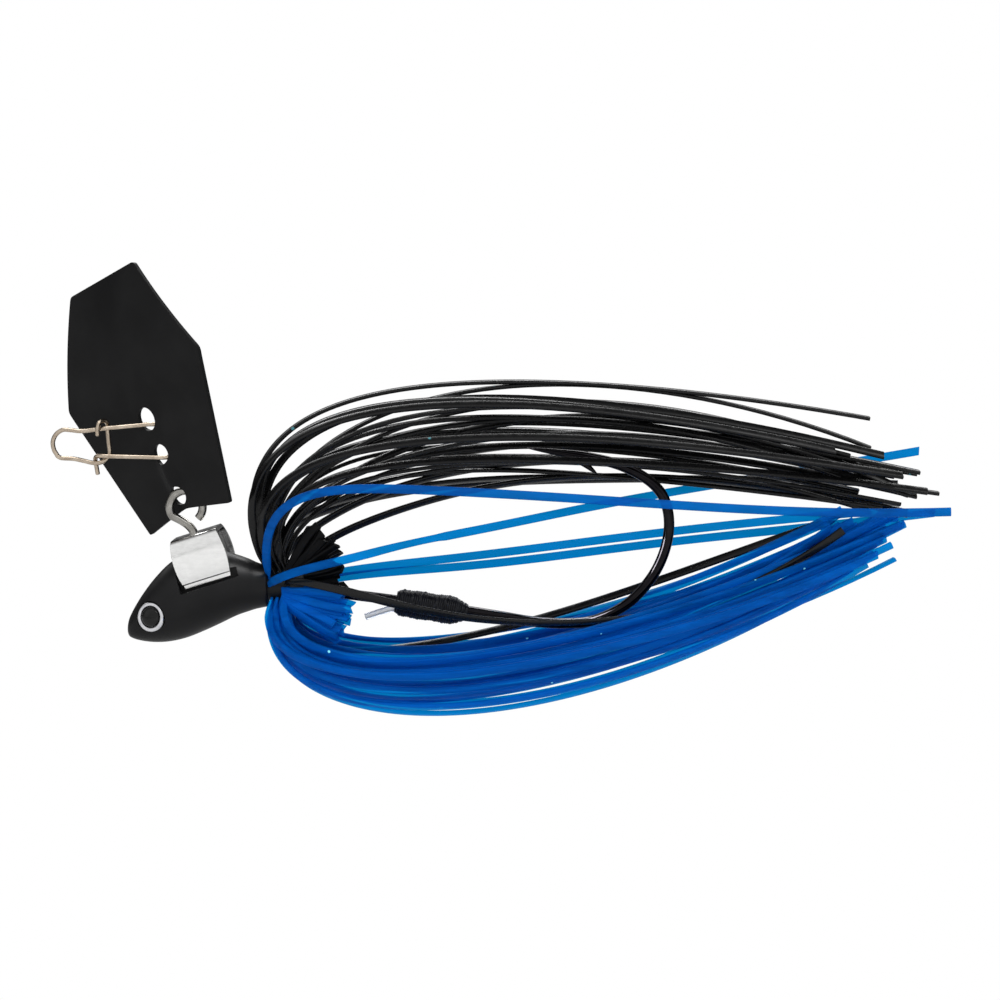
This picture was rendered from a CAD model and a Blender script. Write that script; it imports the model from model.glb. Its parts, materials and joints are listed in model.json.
"""A bladed jig: painted head with eyes, steel saddle and link wire, hexagonal blade with a line
snap, hook with a thread and nylon keeper, and a black and blue silicone skirt.

The nose points to -X and the hook bend to +X, the blade stands up to +Z, and the camera looks
from -Y. Shapes are in mm from the centre of the skirt hub; world() turns them into metres.
"""
import json
import math
import random

import bmesh
import bpy
from mathutils import Matrix, Vector, noise

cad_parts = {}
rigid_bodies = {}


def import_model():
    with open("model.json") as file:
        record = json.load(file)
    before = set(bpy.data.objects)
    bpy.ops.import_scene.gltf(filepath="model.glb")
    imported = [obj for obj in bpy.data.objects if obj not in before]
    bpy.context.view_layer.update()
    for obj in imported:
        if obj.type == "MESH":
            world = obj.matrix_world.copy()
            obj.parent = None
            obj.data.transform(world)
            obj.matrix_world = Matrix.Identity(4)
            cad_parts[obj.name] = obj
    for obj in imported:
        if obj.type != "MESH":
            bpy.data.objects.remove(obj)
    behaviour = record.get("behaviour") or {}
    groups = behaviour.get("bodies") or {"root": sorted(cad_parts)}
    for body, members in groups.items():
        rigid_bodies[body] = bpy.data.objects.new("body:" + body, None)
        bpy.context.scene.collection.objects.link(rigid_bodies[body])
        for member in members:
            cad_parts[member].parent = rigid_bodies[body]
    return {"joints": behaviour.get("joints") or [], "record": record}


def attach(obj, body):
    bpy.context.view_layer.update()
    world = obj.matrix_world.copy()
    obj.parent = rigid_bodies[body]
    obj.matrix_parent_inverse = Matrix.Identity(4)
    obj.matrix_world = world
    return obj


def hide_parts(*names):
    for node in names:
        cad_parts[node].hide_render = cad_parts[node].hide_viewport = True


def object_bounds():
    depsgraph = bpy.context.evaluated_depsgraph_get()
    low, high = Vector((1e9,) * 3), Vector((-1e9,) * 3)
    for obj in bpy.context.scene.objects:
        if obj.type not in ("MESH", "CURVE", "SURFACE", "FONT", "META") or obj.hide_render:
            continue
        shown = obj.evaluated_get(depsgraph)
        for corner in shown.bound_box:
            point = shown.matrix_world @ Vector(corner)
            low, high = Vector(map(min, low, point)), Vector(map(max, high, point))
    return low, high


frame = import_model()
cad_lo, cad_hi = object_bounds()
BODY_OF = {node: body for body, nodes in frame["record"]["behaviour"]["bodies"].items()
           for node in nodes}
MM = 0.001
BLADE_ORIGIN = Vector((-11.00, 0, 10.72))     # the blade_wobble joint, from the skirt hub
WOBBLE = next(joint for joint in frame["joints"] if joint["name"] == "blade_wobble")
HUB = Vector(WOBBLE["pos_m"]) - BLADE_ORIGIN * MM


# ================================ curves =====================================================
def world(point):
    return HUB + Vector(point) * MM


def around(sides):
    return [2 * math.pi * i / sides for i in range(sides)]


def spline(a, b, c, d, t):
    """Catmull-Rom value between b and c."""
    return 0.5 * (2 * b + (c - a) * t + (2 * a - 5 * b + 4 * c - d) * t * t
                  + (3 * b - a - 3 * c + d) * t ** 3)


def smooth_path(points, steps):
    points = [Vector(p) for p in points]
    points = [2 * points[0] - points[1]] + points + [2 * points[-1] - points[-2]]
    path = [spline(*points[i - 1:i + 3], k / steps)
            for i in range(1, len(points) - 2) for k in range(steps)]
    return path + [points[-2]]


def smooth_rows(rows, steps):
    """Splines each column of a table, with the end rows repeated."""
    padded = [rows[0], *rows, rows[-1]]
    out = [tuple(spline(*column, k / steps) for column in zip(*padded[i:i + 4]))
           for i in range(len(rows) - 1) for k in range(steps)]
    return out + [rows[-1]]


def bezier(points, t):
    a, b, c, d = points
    u = 1 - t
    return u ** 3 * a + 3 * u * u * t * b + 3 * u * t * t * c + t ** 3 * d


def resample(path, count):
    """Even spacing along a path."""
    reach = [0.0]
    for a, b in zip(path, path[1:]):
        reach.append(reach[-1] + (b - a).length)
    out, k = [], 0
    for i in range(count + 1):
        goal = reach[-1] * i / count
        while k < len(reach) - 2 and reach[k + 1] < goal:
            k += 1
        t = (goal - reach[k]) / max(1e-9, reach[k + 1] - reach[k])
        out.append(path[k].lerp(path[k + 1], min(1, max(0, t))))
    return out


def tangents(path):
    last = len(path) - 1
    return [(path[min(i + 1, last)] - path[max(i - 1, 0)]).normalized()
            for i in range(len(path))]


# ================================ meshes =====================================================
def add_mesh(name, verts, faces, material=None, sharp=None):
    """Smooth-shaded mesh object from vertices in mm; edges over `sharp` degrees stay sharp."""
    mesh = bpy.data.meshes.new(name)
    mesh.from_pydata([tuple(world(v)) for v in verts], [], [tuple(f) for f in faces])
    bm = bmesh.new()
    bm.from_mesh(mesh)
    bmesh.ops.recalc_face_normals(bm, faces=bm.faces)
    bm.to_mesh(mesh)
    bm.free()
    mesh.shade_smooth()
    if sharp is not None:
        mesh.set_sharp_from_angle(angle=math.radians(sharp))
    ob = bpy.data.objects.new(name, mesh)
    bpy.context.scene.collection.objects.link(ob)
    if material:
        mesh.materials.append(material)
    return ob


def loft(rings, caps=True, loop=False):
    """Vertices and faces of a skin over rings, closed by fans or joined last to first."""
    n, count = len(rings[0]), len(rings)
    verts = [p for ring in rings for p in ring]
    faces = []
    for i in range(count if loop else count - 1):
        a, b = i * n, ((i + 1) % count) * n
        for j in range(n):
            k = (j + 1) % n
            faces.append((a + j, a + k, b + k, b + j))
    if caps and not loop:
        for i in (0, count - 1):
            centre = len(verts)
            verts.append(sum((Vector(p) for p in rings[i]), Vector()) / n)
            for j in range(n):
                faces.append((i * n + j, i * n + (j + 1) % n, centre))
    return verts, faces


def dome_stations(end, outward, radius):
    return [(end + outward * radius * 0.5 * math.sqrt(q), radius * math.sqrt(1 - q * 0.98))
            for q in (0.25, 0.6, 0.85, 0.97)]


def tube(name, path, radii, sides, material=None, dome=(True, True), sharp=60):
    """Round wire along a path; `dome` says which ends, first and last, are rounded."""
    if not hasattr(radii, "__len__"):
        radii = [radii] * len(path)
    along = tangents(path)
    stations = list(zip(path, along, radii))
    if dome[0]:
        first = dome_stations(path[0], -along[0], radii[0])[::-1]
        stations = [(p, along[0], r) for p, r in first] + stations
    if dome[1]:
        stations += [(p, along[-1], r) for p, r in dome_stations(path[-1], along[-1], radii[-1])]
    normal = Vector((0, 1, 0))
    rings = []
    for point, tangent, radius in stations:
        normal = (normal - tangent * normal.dot(tangent)).normalized()
        side = tangent.cross(normal)
        rings.append([point + normal * (radius * math.cos(a)) + side * (radius * math.sin(a))
                      for a in around(sides)])
    return add_mesh(name, *loft(rings), material, sharp)


def revolve(name, profile, sides, axis, centre, material=None, sharp=50):
    """Turns (distance along the axis, radius) points; a profile off the axis is a closed ring."""
    axis, centre = Vector(axis).normalized(), Vector(centre)
    ref = Vector((0, 1, 0)) if abs(axis.y) < 0.9 else Vector((0, 0, 1))
    u = (ref - axis * ref.dot(axis)).normalized()
    v = axis.cross(u)
    rings = [[centre + axis * s + (u * math.cos(a) + v * math.sin(a)) * max(r, 1e-4)
              for a in around(sides)] for s, r in profile]
    skin = loft(rings, caps=False, loop=all(r > 1e-6 for _, r in profile))
    return add_mesh(name, *skin, material, sharp)


def prism(name, polygon, low, high, place):
    """Polygon extruded from low to high; place(depth, a, b) sets each corner."""
    n = len(polygon)
    verts = [place(depth, a, b) for depth in (low, high) for a, b in polygon]
    faces = [(i, (i + 1) % n, n + (i + 1) % n, n + i) for i in range(n)]
    faces += [tuple(range(n)), tuple(range(2 * n - 1, n - 1, -1))]
    return add_mesh(name, verts, faces)


def cut(ob, other, operation="DIFFERENCE"):
    """Applies a Boolean and removes the other object."""
    mod = ob.modifiers.new("cut", "BOOLEAN")
    mod.operation, mod.object, mod.solver = operation, other, "EXACT"
    bpy.context.view_layer.update()
    graph = bpy.context.evaluated_depsgraph_get()
    mesh = bpy.data.meshes.new_from_object(ob.evaluated_get(graph))
    ob.modifiers.clear()
    old = ob.data
    ob.data = mesh
    bpy.data.meshes.remove(old)
    bpy.data.objects.remove(other, do_unlink=True)


def drill(ob, radius, low, high, axis, centre):
    profile = [(low, 0), (low, radius), (high, radius), (high, 0)]
    cut(ob, revolve("hole", profile, 64, axis, centre))


def reshade(ob, sharp, material):
    """One material and fresh sharp edges after Booleans."""
    ob.data.materials.clear()
    ob.data.materials.append(material)
    for face in ob.data.polygons:
        face.material_index = 0
    ob.data.shade_smooth()
    ob.data.set_sharp_from_angle(angle=math.radians(sharp))


def bevel_edges(ob, width, angle):
    mod = ob.modifiers.new("edge", "BEVEL")
    mod.width, mod.segments = width, 2
    mod.limit_method, mod.angle_limit = "ANGLE", math.radians(angle)


def hand_over(ob, node, replaces=True):
    """Tells the frame the paint slot, the CAD node it stands for and the body it rides."""
    if replaces:
        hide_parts(node)
    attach(ob, BODY_OF[node])


# ================================ node graphs ================================================
class Graph:
    """Short calls for a node tree. A value may be a number, a colour or another node's output."""

    def __init__(self, tree, coords):
        self.tree = tree
        self.coords = self.add("TexCoord").outputs[coords]

    def add(self, kind):
        return self.tree.nodes.new("ShaderNode" + kind)

    def feed(self, socket, value):
        if hasattr(value, "is_output"):
            self.tree.links.new(value, socket)
        else:
            socket.default_value = (*value, 1) if hasattr(value, "__len__") else value

    def math(self, operation, a, b):
        node = self.add("Math")
        node.operation = operation
        self.feed(node.inputs[0], a)
        self.feed(node.inputs[1], b)
        return node.outputs[0]

    def mix(self, fac, a, b, blend="MIX"):
        node = self.add("Mix")
        node.data_type, node.blend_type = "RGBA", blend
        for i, value in ((0, fac), (6, a), (7, b)):
            self.feed(node.inputs[i], value)
        return node.outputs[2]


class Surface(Graph):
    """A new material on a Principled shader."""

    def __init__(self, name):
        self.material = bpy.data.materials.new(name)
        self.material.use_nodes = True
        super().__init__(self.material.node_tree, "Object")
        self.shader = self.tree.nodes["Principled BSDF"]

    def mapped(self, scale):
        node = self.add("Mapping")
        node.inputs["Scale"].default_value = scale
        self.feed(node.inputs["Vector"], self.coords)
        return node.outputs["Vector"]

    def noise(self, scale, detail, rough=0.5, vector=None):
        node = self.add("TexNoise")
        node.inputs["Scale"].default_value = scale
        node.inputs["Detail"].default_value = detail
        node.inputs["Roughness"].default_value = rough
        self.feed(node.inputs["Vector"], vector or self.coords)
        return node.outputs["Fac"]

    def ramp(self, fac, low, high):
        """low and high are (position, grey or colour)."""
        node = self.add("ValToRGB")
        for stop, (position, value) in zip(node.color_ramp.elements, (low, high)):
            stop.position = position
            stop.color = (*value, 1) if hasattr(value, "__len__") else (value, value, value, 1)
        self.feed(node.inputs["Fac"], fac)
        return node.outputs["Color"]

    def grain(self, low, high, **settings):
        return self.ramp(self.noise(**settings), low, high)

    def bump(self, height, strength, distance, bevel=0.0):
        """Surface relief in metres, over edges rounded by the bevel radius."""
        node = self.add("Bump")
        node.inputs["Strength"].default_value = strength
        node.inputs["Distance"].default_value = distance
        self.feed(node.inputs["Height"], height)
        if bevel:
            edge = self.add("Bevel")
            edge.samples = 4
            edge.inputs["Radius"].default_value = bevel
            self.feed(node.inputs["Normal"], edge.outputs[0])
        self.feed(self.shader.inputs["Normal"], node.outputs[0])

    def set(self, **values):
        for key, value in values.items():
            socket = key.replace("_", " ").title().replace("Ior", "IOR")
            self.feed(self.shader.inputs[socket], value)

    def mix_shaders(self, fac, first, second):
        node = self.add("MixShader")
        for socket, value in zip(node.inputs, (fac, first, second)):
            self.feed(socket, value)
        return node.outputs[0]

    def show(self, shader):
        self.feed(self.tree.nodes["Material Output"].inputs[0], shader)


# ================================ materials ==================================================
def satin_black(name, dark, light, roughness, specular, relief_scale):
    s = Surface(name)
    s.set(base_color=s.grain(scale=140, detail=4, low=(0.35, dark), high=(0.7, light)),
          roughness=s.grain(scale=700, detail=5, low=(0.3, roughness - 0.05),
                            high=(0.75, roughness + 0.07)),
          specular_ior_level=specular)
    s.bump(s.noise(scale=relief_scale, detail=3), strength=0.10, distance=0.00004, bevel=0.00008)
    return s.material


# key: name, light colour, dark colour, roughness, grain scale per axis, edge radius m, relief
METALS = {
    "saddle": ("saddle_polished_steel", (0.93, 0.93, 0.92), (0.80, 0.80, 0.79),
               0.17, (1, 1, 2.5), 0.00007, 0.05),
    "steel": ("link_drawn_steel", (0.46, 0.45, 0.42), (0.26, 0.25, 0.23),
              0.17, (1, 1, 1), 0.00003, 0.12),
    "snap": ("snap_warm_nickel", (0.72, 0.62, 0.50), (0.42, 0.34, 0.26),
             0.20, (1, 1, 1), 0.00002, 0.10),
    "hook": ("hook_black_nickel", (0.020, 0.019, 0.020), (0.011, 0.010, 0.012),
             0.09, (0.5, 1, 1), 0.00003, 0.06),
    "eye_ring": ("eye_silver_foil", (0.90, 0.90, 0.90), (0.62, 0.62, 0.66),
                 0.16, (1, 1, 1), 0.00004, 0.10),
}


def metal(name, light, dark, roughness, streak, bevel, relief):
    s = Surface(name)
    vector = s.mapped(streak)
    s.set(base_color=s.mix(s.grain(scale=900, detail=6, rough=0.6, vector=vector,
                                   low=(0.35, 0.0), high=(0.8, 1.0)), dark, light),
          metallic=1.0,
          roughness=s.grain(scale=500, detail=5, rough=0.6, vector=vector,
                            low=(0.3, roughness * 0.7), high=(0.8, roughness * 1.5)))
    s.bump(s.noise(scale=2600, detail=3, rough=0.6, vector=vector),
           strength=relief, distance=0.00003, bevel=bevel)
    return s.material


def eye_epoxy():
    s = Surface("eye_black_epoxy")
    s.set(base_color=s.grain(scale=700, detail=2, low=(0.3, 0.004), high=(0.8, 0.016)),
          roughness=0.05, specular_ior_level=0.22)
    s.bump(s.noise(scale=600, detail=2), strength=0.05, distance=0.00005)
    return s.material


def black_thread():
    s = Surface("keeper_black_thread")
    s.set(base_color=s.grain(scale=2600, detail=4, low=(0.3, (0.002, 0.002, 0.003)),
                             high=(0.8, (0.009, 0.010, 0.014))),
          roughness=s.grain(scale=900, detail=3, low=(0.3, 0.18), high=(0.75, 0.5)),
          specular_ior_level=0.22)
    s.bump(s.noise(scale=5200, detail=4), strength=0.4, distance=0.00005)
    return s.material


def clear_nylon():
    s = Surface("keeper_clear_nylon")
    s.set(base_color=s.grain(scale=800, detail=3, low=(0.3, (0.82, 0.86, 0.93)),
                             high=(0.8, (0.97, 0.98, 1.0))),
          roughness=s.grain(scale=1500, detail=4, low=(0.35, 0.08), high=(0.8, 0.30)),
          transmission_weight=0.72, ior=1.5)
    s.bump(s.noise(scale=1800, detail=3), strength=0.15, distance=0.00004)
    return s.material


def black_rubber():
    s = Surface("collar_black_rubber")
    s.set(base_color=s.grain(scale=1200, detail=4, low=(0.3, 0.007), high=(0.8, 0.018)),
          roughness=s.grain(scale=800, detail=3, low=(0.3, 0.42), high=(0.8, 0.62)),
          specular_ior_level=0.25)
    s.bump(s.noise(scale=2500, detail=4), strength=0.25, distance=0.00005)
    return s.material


# key: name, body colour, flake colour, roughness, specular, share of light let through, its tint
SILICONES = {
    "black": ("silicone_black", (0.0040, 0.0040, 0.0043), (0.05, 0.22, 0.26), 0.28, 0.26, 0, None),
    "black_matt": ("silicone_black_matt", (0.0025, 0.0025, 0.0028), (0.02, 0.05, 0.06),
                   0.42, 0.10, 0, None),
    "blue_deep": ("silicone_blue_deep", (0.0, 0.080, 0.36), (0.25, 0.80, 0.95),
                  0.42, 0.05, 0.14, (0.0, 0.34, 0.74)),
    "blue": ("silicone_blue", (0.0, 0.112, 0.48), (0.25, 0.80, 0.95),
             0.45, 0.05, 0.40, (0.0, 0.34, 0.72)),
}


def silicone(name, body, flake_colour, roughness, specular, share, tint):
    """Ribbon with tiny flakes in it; part of the light may pass through, tinted."""
    s = Surface(name)
    vary = s.grain(scale=1.0, detail=4, rough=0.6, vector=s.mapped((60, 900, 900)),
                   low=(0.3, 0.72), high=(0.75, 1.25))
    shade = s.mix(1.0, body, vary, blend="MULTIPLY")
    cells = s.add("TexVoronoi")
    cells.inputs["Scale"].default_value = 235.0
    s.feed(cells.inputs["Vector"], s.coords)
    flake_radius = 0.045       # in cell units
    flake = s.math("LESS_THAN", cells.outputs["Distance"], flake_radius)
    s.set(base_color=s.mix(flake, shade, flake_colour),
          roughness=s.grain(scale=900, detail=3, low=(0.3, roughness - 0.08),
                            high=(0.8, roughness + 0.1)),
          specular_ior_level=specular)
    s.bump(s.noise(scale=1.0, detail=2, vector=s.mapped((120, 700, 700))),
           strength=0.04, distance=0.00005)
    if share:
        through = s.add("BsdfTransparent")
        s.feed(through.inputs[0], tint)
        passed = s.math("MULTIPLY", s.math("SUBTRACT", 1.0, flake), share)
        ribbon_shader = s.mix_shaders(passed, s.shader.outputs[0], through.outputs[0])
        # a ribbon counts once: the face turned away from the viewer is clear
        away = s.add("NewGeometry").outputs["Backfacing"]
        s.show(s.mix_shaders(away, ribbon_shader, s.add("BsdfTransparent").outputs[0]))
    return s.material


MAT = {
    "head": satin_black("lead_black_paint", dark=(0.0040, 0.0040, 0.0044),
                        light=(0.0068, 0.0068, 0.0072), roughness=0.36, specular=0.15,
                        relief_scale=3600),
    "blade": satin_black("blade_black_coat", dark=(0.0085, 0.0085, 0.0088),
                         light=(0.0125, 0.0125, 0.0128), roughness=0.36, specular=0.045,
                         relief_scale=2800),
}
MAT.update((key, metal(*row)) for key, row in METALS.items())
MAT["eye_pupil"] = eye_epoxy()
MAT["thread"] = black_thread()
MAT["mono"] = clear_nylon()
MAT["collar"] = black_rubber()
MAT.update((key, silicone(*row)) for key, row in SILICONES.items())


# ================================ link wire ==================================================
LINK_R = 0.49                   # wire radius
RING_X, RING_Z, RING_R = -10.35, 9.30, 1.92
RING_FROM, RING_TO = -44, 214   # degrees round the open ring
LINK_TAIL = [(-10.95, 0, 7.72), (-10.05, 0, 7.08), (-9.50, 0, 6.30), (-9.34, 0, 5.2),
             (-9.34, 0, 3.9), (-9.34, 0, 2.35)]


def link_path():
    ring = []
    for k in range(49):
        a = math.radians(RING_FROM + k * (RING_TO - RING_FROM) / 48)
        ring.append(Vector((RING_X + RING_R * math.cos(a), 0, RING_Z + RING_R * math.sin(a))))
    return ring + smooth_path([ring[-1]] + LINK_TAIL, 8)[1:]


def build_link():
    wire = tube("link_ring_wire", link_path(), LINK_R, 28, MAT["steel"], dome=(False, True))
    bevel_edges(wire, width=0.00008, angle=60)
    hand_over(wire, "link_wire")


# ================================ saddle =====================================================
SADDLE_CENTRE, SADDLE_LEAN = Vector((-8.40, 0, 3.57)), 17.5
SADDLE_T = 0.45                 # sheet thickness
SADDLE_HALF = 2.70              # half length at the top
SADDLE_BARREL = 0.42            # how much further the ends reach at mid height
# outer outline of one leg: half width, height; from the foot to the crown
SADDLE_LEG = [(2.60, -2.88), (2.66, -2.42), (2.98, -2.28), (3.15, -1.25), (3.15, 1.05),
              (3.02, 2.05), (2.74, 2.60), (2.25, 2.86), (0.80, 2.90)]


def saddle_place(length, width, height):
    turn = Matrix.Rotation(math.radians(-SADDLE_LEAN), 3, "Y")
    return SADDLE_CENTRE + turn @ Vector((length, width, height))


def leg_inset(depth, leg):
    """The leg outline moved inward; its last point moves straight down."""
    out = []
    last = len(leg) - 1
    for i, (a, b) in enumerate(leg):
        normal_a, normal_b = 0.0, 1.0
        if i < last:
            a0, b0 = leg[max(i - 1, 0)]
            a1, b1 = leg[i + 1]
            step_a, step_b = a1 - a0, b1 - b0
            size = math.hypot(step_a, step_b)
            normal_a, normal_b = step_b / size, -step_a / size
        out.append((a - normal_a * depth, b - normal_b * depth))
    return out


def both_legs(leg):
    return [(-a, b) for a, b in leg] + [(a, b) for a, b in reversed(leg)]


def build_saddle():
    upper = [tuple(p)[:2] for p in smooth_path([(a, b, 0) for a, b in SADDLE_LEG[2:]], 5)]
    leg = SADDLE_LEG[:2] + [(2.74, -2.37)] + upper
    outer = both_legs(leg)
    loop = outer + both_legs(leg_inset(SADDLE_T, leg))[::-1]
    n, steps = len(loop), 24
    rings = []
    for k in range(steps + 1):
        u = -1 + 2 * k / steps
        rings.append([
            saddle_place(u * (SADDLE_HALF + SADDLE_BARREL * max(0.0, 1 - (b / 2.9) ** 2)), a, b)
            for a, b in loop])
    verts, faces = loft(rings, caps=False)
    for end in (0, steps * n):
        for i in range(len(outer) - 1):
            faces.append((end + i, end + i + 1, end + n - 2 - i, end + n - 1 - i))
    saddle = add_mesh("saddle_sleeve", verts, faces, MAT["saddle"], 40)
    cut(saddle, tube("hole", link_path()[-20:], LINK_R + 0.12, 32, sharp=None))
    reshade(saddle, 35, MAT["saddle"])
    bevel_edges(saddle, width=0.00009, angle=50)
    hand_over(saddle, "strike_saddle")


# ================================ head and eyes ==============================================
# x, top z, bottom z, half width; from the nose back
HEAD = [
    (-17.34, -4.45, -5.55, 0.45), (-17.10, -3.60, -5.95, 1.10), (-16.40, -2.25, -6.25, 1.80),
    (-15.30, -0.55, -6.48, 2.45), (-14.00, 1.10, -6.58, 2.95), (-12.40, 2.70, -6.48, 3.40),
    (-10.50, 3.85, -6.05, 3.72), (-8.40, 4.35, -5.22, 3.80), (-6.40, 4.22, -4.30, 3.55),
    (-4.65, 3.75, -3.45, 3.12), (-3.20, 3.25, -2.93, 2.74), (-2.20, 2.80, -2.62, 2.44),
    (-1.00, 2.42, -2.38, 2.26),
]
# x, radius of the round neck that carries the collar
NECK = [(-0.90, 2.2), (-0.86, 1.9), (-0.84, 1.62), (-0.4, 1.6), (1.2, 1.6), (3.7, 1.6)]
SADDLE_GAP = 0.10               # clearance outside the saddle, overlap inside it
# distance along the eye's axis, radius
FOIL_PROFILE = [(-0.36, 0.2), (-0.36, 1.72), (0.02, 1.72), (0.12, 1.68), (0.20, 1.60),
                (0.235, 1.50), (0.22, 1.40), (0.17, 1.30), (0.08, 1.22), (-0.10, 1.18),
                (-0.14, 0.2)]
PUPIL_R, PUPIL_RISE = 1.16, 0.54
SOCKET_R, SOCKET_DEPTH = 1.84, 0.42


def eye_frame(side):
    """Centre and outward axis; side -1 is the -Y one."""
    return (Vector((-14.25, side * 2.62, -3.20)),
            Vector((-0.36, side * 0.93, 0.10)).normalized())


def build_head():
    angles = around(96)
    rings = []
    for x, top, low, half in smooth_rows(HEAD, 7):
        middle, tall = (top + low) / 2, (top - low) / 2
        rings.append([Vector((x, half * math.cos(a), middle + tall * math.sin(a)))
                      for a in angles])
    for x, r in NECK:
        rings.append([Vector((x, r * math.cos(a), r * math.sin(a))) for a in angles])
    head = add_mesh("head_body", *loft(rings), MAT["head"], 50)
    # a post fills the saddle, then a pocket clears room for its sheet
    post = both_legs(leg_inset(SADDLE_T - SADDLE_GAP, SADDLE_LEG)[1:])
    post = [(-1.9, -4.2)] + post + [(1.9, -4.2)]
    cut(head, prism("post", post, -2.35, 2.45, saddle_place), "UNION")
    inner = leg_inset(SADDLE_T + SADDLE_GAP, SADDLE_LEG)
    low, foot = -3.2, inner[0][0]
    pocket = [(-6, low), (-6, 8), (6, 8), (6, low), (foot, low)]
    pocket += both_legs(inner)[::-1][:0] + inner + [(-a, b) for a, b in reversed(inner)]
    pocket += [(-foot, low)]
    cut(head, prism("pocket", pocket, -SADDLE_HALF - 0.62, SADDLE_HALF + 0.85, saddle_place))
    for side in (-1, 1):
        centre, axis = eye_frame(side)
        drill(head, SOCKET_R, -SOCKET_DEPTH, 2.0, axis, centre)
    reshade(head, 38, MAT["head"])
    hand_over(head, "head")


def build_eyes():
    dome = [(-0.10, 0.0), (-0.08, PUPIL_R)]
    for k in range(11, 0, -1):
        a = math.pi / 2 * k / 12
        dome.append((PUPIL_RISE * math.cos(a) ** 0.8, PUPIL_R * math.sin(a)))
    dome.append((0.55, 0.0))
    for side, tag in ((-1, "right"), (1, "left")):
        centre, axis = eye_frame(side)
        foil = revolve("eye_foil_" + tag, FOIL_PROFILE, 72, axis, centre, MAT["eye_ring"], 60)
        hand_over(foil, "eye_ring_" + tag)
        pupil = revolve("eye_dome_" + tag, dome, 64, axis, centre, MAT["eye_pupil"], 70)
        hand_over(pupil, "eye_pupil_" + tag)


# ================================ blade ======================================================
BLADE_LEAN, BLADE_TIP, BLADE_YAW, BLADE_T = 22.6, -2.4, 41.0, 0.45
# half width, height, corner radius
BLADE_BOTTOM, BLADE_WIDE, BLADE_TOP = (7.93, -3.04, 0.30), (13.25, 14.29, 0.45), (6.55, 26.50, 0.45)
BLADE_NOTCH = -1.74             # height of the bottom edge's middle
NOTCH_SOFT, NOTCH_LEVEL = 0.008, 0.0894    # rounding of the notch's point, its offset
BEND_FROM, BEND = 12.5, 0.0095  # the plate curves back above this height
RIB_RISE, RIB_WIDTH, RIB_HEIGHT, RIB_HALF = 0.55, 0.95, 2.7, 2.1
HOLES = [(0.0, 1.16), (5.19, 1.20), (9.58, 1.40)]       # height, radius


def blade_axes():
    """Directions up the plate, across it, and out of its -X face."""
    lean, tip, yaw = (math.radians(a) for a in (BLADE_LEAN, BLADE_TIP, BLADE_YAW))
    up = Vector((-math.sin(lean) * math.cos(tip), -math.sin(tip),
                 math.cos(lean) * math.cos(tip)))
    across = Vector((0, 1, 0)).cross(up).normalized()
    width = math.cos(yaw) * across + math.sin(yaw) * across.cross(up)
    return up, width, width.cross(up)


BLADE_UP, BLADE_ACROSS, BLADE_OUT = blade_axes()


def blade_outline():
    """Hexagon with rounded corners and a soft notch in its bottom edge."""
    right = [BLADE_BOTTOM, BLADE_WIDE, BLADE_TOP]
    notch = (0, BLADE_NOTCH, 0)
    corners = [notch] + right + [(-w, h, r) for w, h, r in reversed(right)] + [notch]
    outline = []
    for before, corner, after in zip(corners, corners[1:], corners[2:]):
        p, radius = Vector(corner[:2]), corner[2]
        back = (Vector(before[:2]) - p).normalized()
        ahead = (Vector(after[:2]) - p).normalized()
        for k in range(6):
            t = k / 5
            outline.append(tuple((p + back * radius) * (1 - t) ** 2 + p * 2 * t * (1 - t)
                                 + (p + ahead * radius) * t * t))
    half, low = BLADE_BOTTOM[:2]
    for k in range(1, 24):
        w = -half + 2 * half * k / 24
        d = abs(w) / half
        outline.append((w, BLADE_NOTCH + (low - BLADE_NOTCH)
                        * (math.sqrt(d * d + NOTCH_SOFT) - NOTCH_LEVEL)
                        / (math.sqrt(1 + NOTCH_SOFT) - NOTCH_LEVEL)))
    return outline


def sheet_grid():
    """Flat gridded sheet, larger than the blade."""
    cols, rows = 46, 56
    (x0, y0), (x1, y1) = (-14.2, -4.2), (14.2, 27.6)
    verts = [Vector((x0 + (x1 - x0) * i / cols, y0 + (y1 - y0) * j / rows, s))
             for s in (BLADE_T / 2, -BLADE_T / 2)
             for j in range(rows + 1) for i in range(cols + 1)]
    row = cols + 1
    layer = row * (rows + 1)
    faces = []
    for j in range(rows):
        for i in range(cols):
            a = j * row + i
            faces.append((a, a + 1, a + row + 1, a + row))
            faces.append((layer + a, layer + a + row, layer + a + row + 1, layer + a + 1))
    rim = list(range(cols)) + [j * row + cols for j in range(rows)]
    rim += [rows * row + i for i in range(cols, 0, -1)] + [j * row for j in range(rows, 0, -1)]
    for a, b in zip(rim, rim[1:] + rim[:1]):
        faces.append((a, layer + a, layer + b, b))
    return verts, faces


def blade_place(w, h, s):
    """Flat width, height and depth to the leaning, bent and ribbed plate."""
    over = max(0.0, h - BEND_FROM)
    slope = -2 * BEND * over
    size = math.hypot(1, slope)
    rib = (RIB_RISE * math.exp(-(w / RIB_WIDTH) ** 2)
           * math.exp(-((h - RIB_HEIGHT) / RIB_HALF) ** 4))
    return (BLADE_ORIGIN + BLADE_ACROSS * w + BLADE_UP * (h - s * slope / size)
            + BLADE_OUT * (-BEND * over * over + s / size + rib))


def build_blade():
    plate = add_mesh("blade_plate", *sheet_grid(), MAT["blade"])
    outline = prism("outline", blade_outline(), -3, 3, lambda depth, a, b: Vector((a, b, depth)))
    cut(plate, outline, "INTERSECT")
    for height, radius in HOLES:
        drill(plate, radius, -3, 3, (0, 0, 1), (0, height, 0))
    for vert in plate.data.vertices:
        vert.co = world(blade_place(*((vert.co - HUB) / MM)))
    reshade(plate, 35, MAT["blade"])
    hand_over(plate, "blade")


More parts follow.
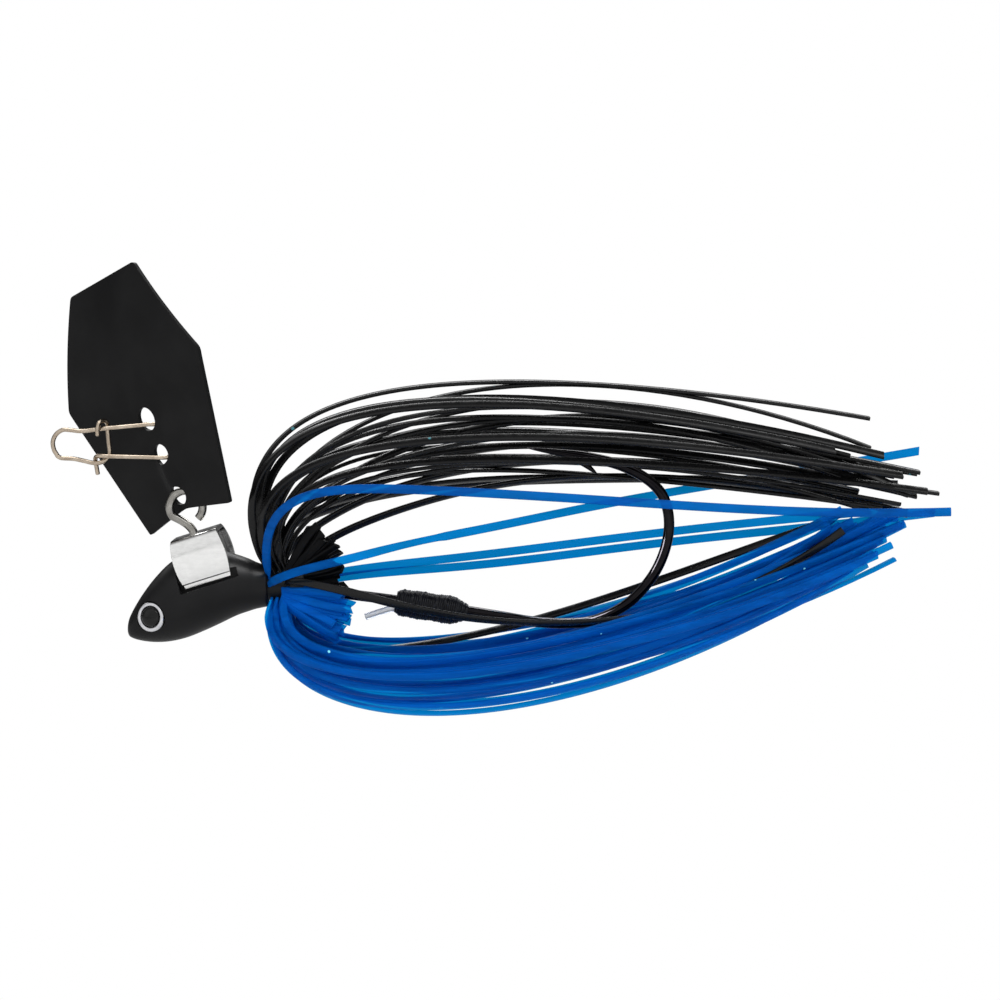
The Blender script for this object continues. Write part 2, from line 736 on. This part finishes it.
# ================================ snap =======================================================
SNAP_R = 0.26
SNAP_GAP, SNAP_OVERLAP = 0.26, 0.16     # spine end beyond its curve; wires start inside it
# x, z, y offset from the blade's leaning middle plane
SNAP_SPINE = [
    (-11.95, 15.75, 0), (-11.85, 16.4, 0), (-12.2, 17.4, 0), (-12.75, 18.3, 0),
    (-13.45, 18.82, 0), (-14.4, 18.92, 0), (-15.6, 18.82, 0), (-18.0, 18.60, 0),
    (-20.2, 18.38, 0), (-22.4, 18.12, 0), (-23.6, 18.22, 0), (-24.6, 18.25, 0),
    (-25.4, 17.72, 0), (-25.78, 16.85, 0), (-25.66, 15.95, 0), (-25.36, 15.42, 0)]
SNAP_CROSSBAR = [
    (-24.75, 14.98, 0), (-23.4, 14.90, 0), (-22.2, 14.66, 0), (-21.2, 14.44, -0.05),
    (-20.4, 14.42, 0.10), (-19.65, 14.82, 0.42), (-19.30, 15.55, 0.64), (-19.40, 16.8, 0.68),
    (-19.50, 18.1, 0.68), (-19.50, 18.95, 0.55), (-19.85, 19.30, 0.12),
    (-20.25, 19.10, -0.38), (-20.42, 18.5, -0.66), (-20.42, 17.7, -0.66)]
SNAP_LATCH = [
    (-12.35, 15.12, 0), (-13.0, 15.06, 0), (-14.5, 15.10, 0), (-17.0, 15.16, -0.04),
    (-19.2, 15.22, -0.08), (-20.15, 15.25, -0.02), (-20.75, 15.15, 0.25),
    (-20.98, 14.70, 0.58), (-20.88, 14.0, 0.68), (-20.72, 13.1, 0.62)]


def snap_point(x, z, offset):
    flat = Vector((BLADE_UP.x, 0, BLADE_UP.z))
    rise = Vector((x - BLADE_ORIGIN.x, 0, z - BLADE_ORIGIN.z)).dot(flat) / flat.length_squared
    return Vector((x, BLADE_UP.y * rise + offset, z))


def build_snap():
    spine = smooth_path([snap_point(*p) for p in SNAP_SPINE], 6)

    def gate(end, before, table):
        """End of the spine, and the thin wire that leaves it."""
        out = (end - before).normalized()
        tip = end + out * SNAP_GAP
        return tip, smooth_path([tip - out * SNAP_OVERLAP, tip]
                                + [snap_point(*p) for p in table], 6)

    low, latch = gate(spine[0], spine[1], SNAP_LATCH)
    loop, crossbar = gate(spine[-1], spine[-2], SNAP_CROSSBAR)
    for name, path, node in (("snap_spine", [low] + spine + [loop], "line_snap"),
                             ("snap_crossbar_wire", crossbar, "snap_gate_line"),
                             ("snap_latch_wire", latch, "snap_gate_blade")):
        hand_over(tube(name, path, SNAP_R, 18, MAT["snap"]), node)


# ================================ hook =======================================================
HOOK_R, POINT_TAPER = 0.62, 6.6          # wire radius, tapered length at the point
# x, z of the centre line, from inside the head round the bend to the point
HOOK_PATH = [
    (-8.3, 0.95), (-4.0, 0.42), (0, 0), (7.0, -0.78), (14.5, -1.74), (21.5, -2.80),
    (26.2, -3.55), (30.2, -4.20), (34.3, -4.38), (37.6, -3.90), (41.2, -1.95), (43.8, 0.93),
    (45.3, 4.0), (45.85, 7.15), (45.4, 9.9), (44.2, 11.75), (42.2, 13.2), (39.6, 14.35),
    (36.6, 15.05), (33.2, 15.62), (29.2, 16.2)]
BARB_PATH = [(32.2, 0, 15.75), (34.0, 0, 15.20), (35.8, 0, 14.45), (37.35, 0, 13.22)]


def hook_centre():
    return smooth_path([(x, 0, z) for x, z in HOOK_PATH], 9)


def build_hook():
    steps = 260
    path = resample(hook_centre(), steps)
    length = sum((b - a).length for a, b in zip(path, path[1:]))
    radii = [HOOK_R * min(1.0, (length * (1 - i / steps) + 0.05) / POINT_TAPER) ** 0.72
             for i in range(steps + 1)]
    hook = tube("hook_wire", path, radii, 32, MAT["hook"])
    radii = [0.10 + 0.36 * math.sin(math.pi * (k / 18) ** 1.3) ** 0.8 * (1 - 0.2 * k / 18)
             for k in range(19)]
    cut(hook, tube("barb", smooth_path(BARB_PATH, 6), radii, 16, sharp=None), "UNION")
    reshade(hook, 40, MAT["hook"])
    hand_over(hook, "hook")


# ================================ keeper =====================================================
WRAP_FROM, WRAP_TO = 14.0, 22.4          # x of the thread wrap's ends on the shank
WRAP_R, WRAP_DROP, MONO_R = 1.60, 0.18, 0.38
COVER_T = 0.16                           # wrap radius less core radius
# tag, turns, lift, thread radius, start angle, wobble
THREADS = [("a", 34, 0.0, 0.145, 0.0, 0.05), ("b", 13, 0.07, 0.13, 1.7, 0.55)]


def shank_at(x):
    path = hook_centre()
    return next(a.lerp(b, (x - a.x) / (b.x - a.x)) for a, b in zip(path, path[1:])
                if a.x <= x <= b.x)


SHANK_START = shank_at(WRAP_FROM)
SHANK = shank_at(WRAP_TO) - SHANK_START
WRAP_LENGTH = SHANK.length
SHANK = SHANK.normalized()
SHANK_SIDE = Vector((0, 1, 0))
SHANK_DOWN = SHANK_SIDE.cross(SHANK)


def core_radius(u):
    """The wrap thins at both ends and swells slightly in waves."""
    radius = WRAP_R * (1 - 0.34 * max(0, (0.09 - u) / 0.09)
                       - 0.50 * max(0, (u - 0.80) / 0.20) ** 1.2)
    return radius * (1 - 0.06 * math.sin(u * 9.0) ** 2) - COVER_T


def wrap_point(along, angle, radius):
    return (SHANK_START + SHANK_DOWN * WRAP_DROP + SHANK * along
            + (SHANK_SIDE * math.cos(angle) + SHANK_DOWN * math.sin(angle)) * radius)


def build_wrap_core():
    steps = 60
    rings = []
    for i in range(steps + 1):
        u = i / steps
        radius = core_radius(u) * (0.55 if i in (0, steps) else 1)
        rings.append([wrap_point(u * WRAP_LENGTH, a, radius) for a in around(40)])
    core = add_mesh("keeper_wrap_core", *loft(rings), MAT["thread"], 60)
    hand_over(core, "keeper_thread", replaces=False)


def build_threads():
    """Thread a winds once along the wrap; b goes back and forth over it."""
    for tag, turns, lift, thick, phase, wobble in THREADS:
        path = []
        count = turns * 22
        for i in range(count + 1):
            u = i / count
            place = u if tag == "a" else 0.5 - 0.5 * math.cos(u * math.pi * 3)
            place = 0.015 + 0.97 * place
            jitter = noise.noise(Vector((i * 0.021, 3.1 + lift * 50, 0)))
            radius = core_radius(place) + thick * 0.72 + lift + 0.03 * jitter
            path.append(wrap_point(place * WRAP_LENGTH + 0.16 * wobble * jitter,
                                   2 * math.pi * turns * u + phase, radius))
        thread = tube("keeper_thread_" + tag, path, thick, 7, MAT["thread"], sharp=80)
        hand_over(thread, "keeper_thread", replaces=tag == "a")


def build_mono():
    """Nylon stub under the shank, from inside the wrap out toward the head."""
    drop = HOOK_R + MONO_R + 0.08
    path = [SHANK_START + SHANK * s + SHANK_DOWN * drop for s in (4.2, 2.0, 0.6)]
    path += [SHANK_START + SHANK * -0.6 + SHANK_DOWN * (drop + 0.07), Vector((10.4, 0, -3.62))]
    mono = tube("keeper_mono_stub", smooth_path(path, 8), MONO_R, 28, MAT["mono"],
                dome=(True, False))
    bevel_edges(mono, width=0.00006, angle=60)
    hand_over(mono, "keeper_mono")


# ================================ collar =====================================================
# x, radius
COLLAR = [(1.85, 1.70), (1.85, 2.28), (1.90, 2.38), (2.02, 2.46), (2.30, 2.50), (2.65, 2.47),
          (3.00, 2.50), (3.28, 2.46), (3.40, 2.38), (3.45, 2.28), (3.45, 1.70)]


def build_collar():
    band = revolve("collar_band", COLLAR, 64, (1, 0, 0), (0, 0, 0), MAT["collar"])
    hand_over(band, "skirt_collar")


# ================================ skirt ======================================================
# Azimuths are degrees about the skirt's axis, 0 up and 90 toward the camera.
SKIRT_TILT = math.radians(6.6)
STRAND_W, STRAND_T, ROOT_W, ROOT_T = 1.0, 0.45, 0.60, 0.30
HUB_R, ROOT_SHIFT = 2.0, 0.40
TIP_CLOSING = 0.28              # tip radius lost per mm of reach beyond 70
BLACK_MORE, BLUE_MORE = 15, 28
AXIS = Vector((math.cos(SKIRT_TILT), 0, math.sin(SKIRT_TILT)))
UP = Vector((-math.sin(SKIRT_TILT), 0, math.cos(SKIRT_TILT)))
NEAR = Vector((0, -1, 0))
# shell: root along the axis; crest radius up, down, aside above, aside below; tip radius up,
# down, aside
SHELLS = {
    1: (-0.95, 21.9, 17.3, 12.0, 12.6, 8.0, 4.8, 5.6),
    2: (-0.28, 20.3, 15.7, 10.5, 12.2, 6.9, 3.9, 4.7),
    3: (0.39, 17.2, 14.1, 9.0, 11.8, 5.6, 2.9, 3.8),
    4: (1.06, 14.8, 12.5, 7.6, 11.4, 4.3, 2.0, 3.0),
}
# (colour, shell): azimuth, reach of the tip, and for one strand the lift of its tip
STRANDS = {
    ("black", 1): [(-54, 74.0), (-31, 67.0), (-8, 71.0, 4.0), (15.5, 66.0)],
    ("black", 2): [(-47, 71.5), (-24, 76.0), (-1, 68.0), (23, 73.5)],
    ("black", 3): [(-12, 73.0), (13, 70.5)],
    ("black", 4): [(-16, 78.0), (15, 76.5)],
    ("blue", 1): [(137, 69.5), (159, 68.5), (180, 67.0), (-160, 68.0), (-138.5, 70.5)],
    ("blue", 2): [(142, 71.5), (162, 69.5), (-178, 68.0), (-156, 70.0)],
    ("blue", 3): [(147, 71.0), (170, 70.0), (-166, 69.5), (-146, 71.5)],
    ("blue", 4): [(144, 73.0)],
}
# colour, shell, bundle if not that of the azimuth, three curve points (along axis, up, near)
STRAYS = [
    ("blue", 1, None, (1.2, 21.5, 19.0), (22, 6.5, 14.5), (78.2, 0.3, 4.0)),
    ("blue", 1, "side_far", (4.0, 4.6, 16.5), (28, 2.6, -19.5), (77.4, 6.4, -6.5)),
    ("blue", 3, None, (2.2, -0.3, -8.0), (22, 0.2, -9.5), (70.5, 0.3, -3.6)),
    ("blue", 2, None, (0.3, -1.0, -10.5), (26, -2.2, -12.0), (78.0, -0.6, -3.6)),
    ("black", 3, None, (-0.5, 7.0, -8.6), (28, 17.6, -7.4), (69.0, 2.8, -3.4)),
    ("black", 4, None, (1.6, 3.4, -9.0), (30, 17.0, -6.2), (74.5, -0.4, -2.4)),
    ("black", 4, None, (-1.5, -15.5, -6.2), (32, -8.8, -6.5), (64.5, -0.4, -2.4)),
    ("black", 4, None, (5.0, 2.6, 7.4), (37, -18.5, 1.8), (66.0, -0.6, 3.0)),
]
# how far the ribbons' flat faces turn to the camera: shell strands, strays
FACING = {"black": (0.25, 0.0), "blue": (0.35, 0.8)}
# bundle, azimuth where it ends; the first begins at BUNDLES_FROM
BUNDLES_FROM = -67
BUNDLES = [("top_far", -20), ("top", 14.9), ("top_near", 36), ("side_near", 110),
           ("bottom_near", 157.5), ("bottom", 202.5), ("bottom_far", 255), ("side_far", 293)]


def radial(azimuth):
    a = math.radians(azimuth)
    return UP * math.cos(a) + NEAR * math.sin(a)


def bundle_of(azimuth):
    a = azimuth if azimuth > BUNDLES_FROM else azimuth + 360
    return next(name for name, end in BUNDLES if a < end)


def ribbon(name, stations, colour, body, cut_end):
    """Flat strip with soft edges; stations are (point, outward, width, thickness)."""
    along = tangents([s[0] for s in stations])
    rings = []
    for i, ((point, out, width, thick), tangent) in enumerate(zip(stations, along)):
        side = out.cross(tangent)
        side = side.normalized() if side.length > 1e-6 else Vector((0, 1, 0))
        normal = tangent.cross(side)
        a, b = width / 2, thick / 2
        c = min(b * 0.62, a * 0.5)
        half = [(a, b - c), (a - c * 0.35, b - c * 0.3), (a - c, b), (0, b * 1.04),
                (-a + c, b), (-a + c * 0.35, b - c * 0.3), (-a, b - c)]
        slant = tangent * cut_end if i == len(stations) - 1 else Vector()
        rings.append([point + side * x + normal * y + slant * x
                      for x, y in half + [(-x, -y) for x, y in half]])
    ob = add_mesh(name, *loft(rings), MAT[colour], 50)
    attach(ob, body)
    return ob


def strand(name, colour, hub, azimuth, curve, bundle, seed, facing, wave=0.16, steps=84):
    """Ribbon from the hub along a Bezier curve, with a slight wave and a twist at its end."""
    rand = random.Random(seed)
    hub += ROOT_SHIFT
    root_out = radial(azimuth)
    curve = [AXIS * hub + root_out * HUB_R] + curve
    out_turns, side_turns = rand.uniform(0.6, 1.3), rand.uniform(1.6, 2.6)
    out_phase, side_phase = rand.uniform(0, 6.28), rand.uniform(0, 6.28)
    twist = rand.uniform(-0.5, 0.5)
    stations = [(AXIS * (hub + 0.05) + root_out * (HUB_R - 0.32), root_out, ROOT_W, ROOT_T)]
    for i in range(steps + 1):
        t = (i / steps) ** 1.35
        point = bezier(curve, t)
        reach = point.dot(AXIS)
        offset = point - AXIS * reach
        grow = 1.0 if reach > 20 else max(0.0, min(1.0, (offset.length - HUB_R) / 2.2))
        out = root_out * 1.5 + offset
        out = (out - AXIS * out.dot(AXIS)).normalized()
        size = wave * min(1.0, 3.2 * t) * grow
        side = out.cross(AXIS)
        point = (point + out * (size * math.sin(out_turns * 6.28 * t + out_phase))
                 + side * (size * 0.8 * math.sin(side_turns * 6.28 * t + side_phase)))
        turn = twist * t * t
        out = (out * math.cos(turn) + side * math.sin(turn)).normalized()
        if facing:
            out = out.lerp(NEAR, facing * grow).normalized()
        stations.append((point, out, ROOT_W + (STRAND_W - ROOT_W) * grow,
                         ROOT_T + (STRAND_T - ROOT_T) * grow))
    return ribbon(name, stations, colour, "skirt_" + bundle, rand.uniform(-0.25, 0.25))


def ellipse(azimuth, up, down, side_up, side_down):
    """Radius of an oval whose upper and lower halves differ."""
    a = math.radians(azimuth)
    tall, side = (up, side_up) if math.cos(a) >= 0 else (down, side_down)
    return 1 / math.sqrt((math.cos(a) / tall) ** 2 + (math.sin(a) / side) ** 2)


def shell_curve(shell, azimuth, reach, lift=0.0):
    hub, up, down, side_up, side_down, tip_up, tip_down, tip_side = SHELLS[shell]
    crest = ellipse(azimuth, up, down, side_up, side_down)
    tip = ellipse(azimuth, tip_up, tip_down, tip_side, tip_side)
    tip = max(1.3, tip - TIP_CLOSING * (reach - 70) + lift)
    k = (1 - math.cos(math.radians(azimuth))) / 2      # 0 at the top, 1 at the bottom
    pulls = [(hub - crest * (0.34 - 0.08 * k), HUB_R + crest * (1.18 - 0.14 * k)),
             (28 + 4 * k, crest * (1.15 + 0.20 * k)), (reach, tip)]
    return [AXIS * s + radial(azimuth) * r for s, r in pulls]


def build_skirt():
    rows = []
    for (colour, shell), places in STRANDS.items():
        for azimuth, *tip in places:
            rows.append((colour, shell, azimuth, bundle_of(azimuth),
                         shell_curve(shell, azimuth, *tip), FACING[colour][0]))
    for colour, shell, home, *pulls in STRAYS:
        azimuth = math.degrees(math.atan2(pulls[0][2], pulls[0][1]))
        curve = [AXIS * x + UP * up + NEAR * near for x, up, near in pulls]
        rows.append((colour, shell, azimuth, home or bundle_of(azimuth), curve,
                     FACING[colour][1]))
    count = {}
    for i, (colour, shell, azimuth, bundle, curve, facing) in enumerate(rows):
        count[bundle, colour] = count.get((bundle, colour), 0) + 1
        tag = f"{colour}_{bundle}_{count[bundle, colour]}"
        shade = "blue_deep" if tag == "blue_side_near_1" else colour
        ob = strand("skirt_" + tag, shade, SHELLS[shell][0], azimuth, curve, bundle, 100 + i,
                    facing)
        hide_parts("strand_" + tag)


def build_more_strands():
    """Strands that lie between those of the shells and cross them at small angles.

    In both loops share runs from the lowest arch, 0, to the highest, 1, and late moves the
    crest back along the axis.
    """
    rand = random.Random(21)

    def one(name, colour, azimuth, root, hub, first, second, tip, tip_azimuth, seed, facing):
        curve = [AXIS * first[0] + radial((root + 2 * azimuth) / 3) * first[1],
                 AXIS * second[0] + radial(azimuth + 0.45 * (tip_azimuth - azimuth)) * second[1],
                 AXIS * tip[0] + radial(tip_azimuth) * tip[1]]
        strand(name, colour, hub, root, curve, bundle_of(root), seed, rand.uniform(*facing),
               wave=0.22, steps=60)

    for i in range(BLACK_MORE):
        share = (i + rand.uniform(0.1, 0.9)) / BLACK_MORE
        rise = 10.8 + 10.6 * share
        aside = rand.uniform(0.15, 1.0) * 11.0 * math.sqrt(max(0.0, 1 - (rise / 22.6) ** 2))
        if rise > 17.5 and rand.random() < 0.35:
            aside = -0.5 * aside
        azimuth = -math.degrees(math.atan2(aside, rise))
        hub, late = 1.06 - 2.0 * share, 0.25 + 0.75 * ((i * 0.618) % 1.0)
        crest = math.hypot(rise, aside) * (1 + 0.10 * late)
        one(f"skirt_black_more_{i}", "black", azimuth, azimuth, hub,
            (hub - crest * 0.33 * (1 - late) + 3.5 * late,
             HUB_R + crest * (1.20 - 0.44 * late)),
            (20 + 20 * late, crest * (1.06 + 0.22 * late)),
            (rand.uniform(63, 76),
             min(8.0, max(0.8, 1.2 + 5.4 * share + rand.uniform(-2.2, 2.2)))),
            azimuth * 0.6 + rand.uniform(-14, 14), 500 + i, facing=(0.1, 0.5))
    for i in range(BLUE_MORE):
        sheet = (0.20, 0.26, 0.36, 0.36, 0.42, 0.70, 0.74, 1.0)[i % 8]
        share = min(1.0, max(0.0, sheet + rand.uniform(-0.09, 0.09)))
        drop = 9.7 + 6.9 * share
        aside = rand.uniform(-1.0, 1.0) * 10.5 * math.sqrt(max(0.0, 1 - (drop / 17.6) ** 2))
        azimuth = 180 - math.degrees(math.atan2(aside, drop))
        crest = math.hypot(drop, aside)
        hub, late = 1.06 - 2.0 * share, rand.uniform(0, 0.8)
        root = max(112, min(240, 180 + 2.0 * (azimuth - 180)))
        one(f"skirt_blue_more_{i}", "blue", azimuth, root, hub,
            (hub - crest * 0.26 + 2.5 * late, HUB_R + crest * (1.06 - 0.12 * late)),
            (28 + 9 * late, crest * rand.uniform(1.25, 1.36)),
            (rand.uniform(65, 74),
             min(5.6, max(-2.2, 6.4 * share - 1.6 + rand.uniform(-1.3, 1.3)))),
            azimuth + rand.uniform(-10, 10), 600 + i, facing=(0.35, 0.8))


# ================================ stub fans ==================================================
def stub(name, colour, start, angle, length, tip_y, seed, lean):
    """Short ribbon end; angle is its rise in degrees, lean how far its face may tip."""
    rand = random.Random(seed)
    a = math.radians(angle)
    base = Vector(start)
    tip = base + Vector((math.cos(a), 0, math.sin(a))) * length
    tip.y = tip_y
    across = Vector((-math.sin(a), 0, math.cos(a)))
    curve = [base, base.lerp(tip, 0.33) + Vector((0, (tip_y - base.y) * 0.5, 0)),
             base.lerp(tip, 0.66) + across * rand.uniform(-0.6, 0.6), tip]
    out = (NEAR + across * rand.uniform(-lean, lean)).normalized()
    stations = [(bezier(curve, k / 18), out, 0.62 + 0.33 * min(1, k / 6),
                 0.3 + 0.15 * min(1, k / 6)) for k in range(19)]
    return ribbon(name, stations, colour, BODY_OF["stub_fan_" + colour.split("_")[0]],
                  rand.uniform(-0.7, 0.7))


def build_fans():
    """Cut-off strand ends standing behind the collar, black above and blue below."""
    uniform = (rand := random.Random(7)).uniform
    for i in range(20):
        u = i / 19
        ob = stub(f"stub_black_{i}", "black_matt",
                  (1.5 + uniform(-0.2, 0.5), uniform(-1.4, 1.0), 2.1 - 1.1 * u),
                  61 - 52 * u + uniform(-2.5, 2.5), 6.3 - 0.3 * u + uniform(-0.7, 0.5),
                  uniform(-2.0, 1.2), 300 + i, lean=1.6)
        if i == 0:
            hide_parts("stub_fan_black")
    for i in range(6):
        stub(f"stub_black_low_{i}", "black_matt", (2.2, uniform(-1.0, 1.0), 0.6 - 0.2 * i),
             9 - 5 * i + uniform(-2, 2), 5.6 + uniform(-0.5, 0.5), uniform(-1.8, 1.0),
             340 + i, lean=1.6)
    for i in range(26):
        u = (i // 2) / 12
        near = i % 2 == 0
        ob = stub(f"stub_blue_{i}", "blue",
                  (0.9 + 0.3 * rand.random(), -1.9 if near else -1.2, -0.1 - 1.5 * u),
                  -2 - 34 * u + uniform(-2.5, 2.5), 8.2 - 0.8 * u + uniform(-1.6, 0.6),
                  uniform(-4.0, -3.0) if near else uniform(-2.9, -1.2), 360 + i, lean=0.8)
        if i == 0:
            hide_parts("stub_fan_blue")


# ================================ stage ======================================================
TARGET = world((26.16, 0, 10.12))
CAMERA_RISE, CAMERA_DISTANCE = math.radians(6), 0.235
VIEW_WIDTH = 116.27907 * MM     # width seen at the target
FLOOR_DROP, FLOOR_HALF = 0.030, 6.0
# name, offset from the target, width, height, radiance, seen in reflections, names it lights
LIGHTS = [
    ("back_strip", (0.0, 0.42, 0.40), 0.60, 0.08, 9.0, True, None),
    ("sheen", (0.20, -0.20, 0.38), 0.22, 0.16, 3.0, True, None),
    ("hook_glint", (-0.06, 0.02, 0.40), 0.50, 0.16, 80.0, True, "hook_wire"),
    ("hook_side", (-0.40, -0.06, 0.10), 0.30, 0.16, 60.0, True, "hook_wire"),
    ("wire_glint", (-0.10, 0.02, 0.40), 0.40, 0.12, 3.5, True, ("link_", "snap_")),
    ("head_sheen", (0.10, -0.16, 0.40), 0.16, 0.12, 26.0, True, "head_body"),
    ("front_fill", (0.0, -0.70, 0.25), 0.8, 0.6, 1.7, False, None),
    ("under_fill", (0.0, -0.30, -0.50), 0.8, 0.6, 0.75, False, None),
]


def aim(ob, direction):
    ob.rotation_mode = "QUATERNION"
    ob.rotation_quaternion = direction.to_track_quat("-Z", "Y")


def add_camera():
    data = bpy.data.cameras.new("camera")
    camera = bpy.data.objects.new("camera", data)
    bpy.context.scene.collection.objects.link(camera)
    back = Vector((0, -math.cos(CAMERA_RISE), math.sin(CAMERA_RISE)))
    camera.location = TARGET + back * CAMERA_DISTANCE
    aim(camera, -back)
    data.sensor_width = 36
    data.lens = 36 * CAMERA_DISTANCE / VIEW_WIDTH
    data.clip_start, data.clip_end = 0.01, 20
    bpy.context.scene.camera = camera


def floor_material():
    """Plain white to the camera; to other rays a matt floor that darkens toward the back."""
    s = Surface("floor_white")
    axes = s.add("SeparateXYZ")
    s.feed(axes.inputs[0], s.coords)
    depth = s.math("ADD", s.math("MULTIPLY", axes.outputs[1], 2.0), 0.5)
    tone = s.ramp(depth, low=(0.35, 0.84), high=(0.95, 0.34))
    s.set(base_color=s.mix(s.noise(scale=3, detail=2), tone, tone), roughness=0.9,
          specular_ior_level=0.0)
    s.show(s.mix_shaders(s.add("LightPath").outputs["Is Camera Ray"], s.shader.outputs[0],
                         s.add("Emission").outputs[0]))
    return s.material


def add_floor():
    z, half = cad_lo.z - FLOOR_DROP, FLOOR_HALF
    mesh = bpy.data.meshes.new("floor")
    mesh.from_pydata([(-half, -half, z), (half, -half, z), (half, half, z), (-half, half, z)],
                     [], [(0, 1, 2, 3)])
    floor = bpy.data.objects.new("floor", mesh)
    bpy.context.scene.collection.objects.link(floor)
    mesh.materials.append(floor_material())


def add_world():
    """Soft room: bright behind the camera, a bright band high at the back, dim elsewhere."""
    studio = bpy.data.worlds.new("studio")
    bpy.context.scene.world = studio
    studio.use_nodes = True
    g = Graph(studio.node_tree, "Generated")
    axes = g.add("SeparateXYZ")
    g.feed(axes.inputs[0], g.coords)

    def step(axis, start, end, before, after):
        """Smooth change of a value between two places on an axis of the view direction."""
        node = g.add("MapRange")
        node.interpolation_type = "SMOOTHSTEP"
        for i, value in enumerate((start, end, before, after), 1):
            node.inputs[i].default_value = value
        g.feed(node.inputs[0], axes.outputs[axis])
        return node.outputs[0]

    wall_level, band_level = 0.62, 1.5
    wall = step("Y", start=-0.42, end=-0.02, before=1, after=0)
    band = g.math("MULTIPLY", step("Y", start=0.15, end=0.6, before=0, after=1),
                  g.math("MULTIPLY", step("Z", start=0.30, end=0.50, before=0, after=1),
                         step("Z", start=0.72, end=0.9, before=1, after=0)))
    room = g.math("ADD", step("Y", start=-0.1, end=0.25, before=0.24, after=0.07),
                  g.math("MULTIPLY", wall, wall_level))
    level = g.math("ADD", room, g.math("MULTIPLY", band, band_level))
    background = g.tree.nodes["Background"]
    seen = g.add("LightPath").outputs["Is Camera Ray"]
    g.feed(background.inputs["Color"], g.mix(seen, level, (1, 1, 1)))
    background.inputs["Strength"].default_value = 1.0


def add_light(name, offset, width, height, radiance, glossy, only):
    data = bpy.data.lights.new(name, "AREA")
    data.shape, data.size, data.size_y = "RECTANGLE", width, height
    data.energy = radiance * math.pi * width * height
    light = bpy.data.objects.new(name, data)
    place = TARGET + Vector(offset)
    light.location = place
    aim(light, TARGET - place)
    light.visible_camera = False
    light.visible_glossy = glossy
    bpy.context.scene.collection.objects.link(light)
    if only:
        lit = bpy.data.collections.new(name + "_lit")
        for ob in bpy.data.objects:
            if ob.name.startswith(only):
                lit.objects.link(ob)
        light.light_linking.receiver_collection = lit


def set_render():
    scene = bpy.context.scene
    scene.view_settings.view_transform = "Standard"
    scene.view_settings.look = "None"
    scene.cycles.transparent_max_bounces = 32
    scene.cycles.max_bounces = 10


build_head()
build_saddle()
build_link()
build_eyes()
build_blade()
build_snap()
build_hook()
build_wrap_core()
build_threads()
build_mono()
build_collar()
build_fans()
build_skirt()
build_more_strands()
add_camera()
add_floor()
add_world()
for light_row in LIGHTS:
    add_light(*light_row)
set_render()

bpy.context.view_layer.update()
